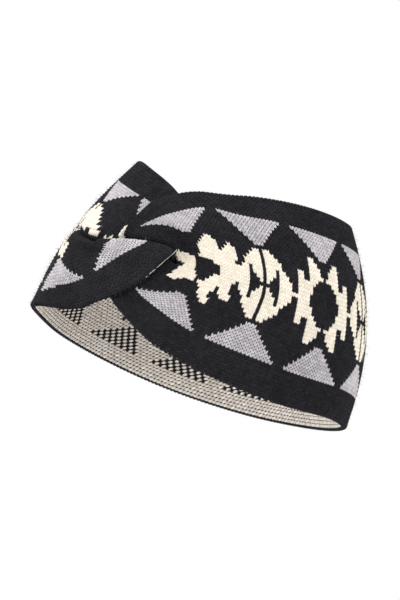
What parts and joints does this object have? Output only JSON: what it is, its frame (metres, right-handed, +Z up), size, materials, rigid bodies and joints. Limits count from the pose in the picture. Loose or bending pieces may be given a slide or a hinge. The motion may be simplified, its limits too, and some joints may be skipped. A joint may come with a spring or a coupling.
{
  "type": "knit headband",
  "caption": "Wide double-knit ear-warmer headband whose folded ends cross in a twist at the front and are sewn together behind it.",
  "frame": {"origin": "on the band's axis, where the axis of a head would run, at the height of the lower rim beside the twist", "axes": "+Z up along the band's axis towards the crown, -Y out through the twist, +X to the wearer's left"},
  "size_m": [0.1702, 0.1768, 0.1216],
  "materials": {
    "knit": "soft double-knit wool blend, black, grey and cream pattern",
    "seam_thread": "matt sewing thread over the raw ends"
  },
  "bodies": {
    "root": {"knit_band": "knit", "twist_seam": "seam_thread"}
  },
  "joints": []
}
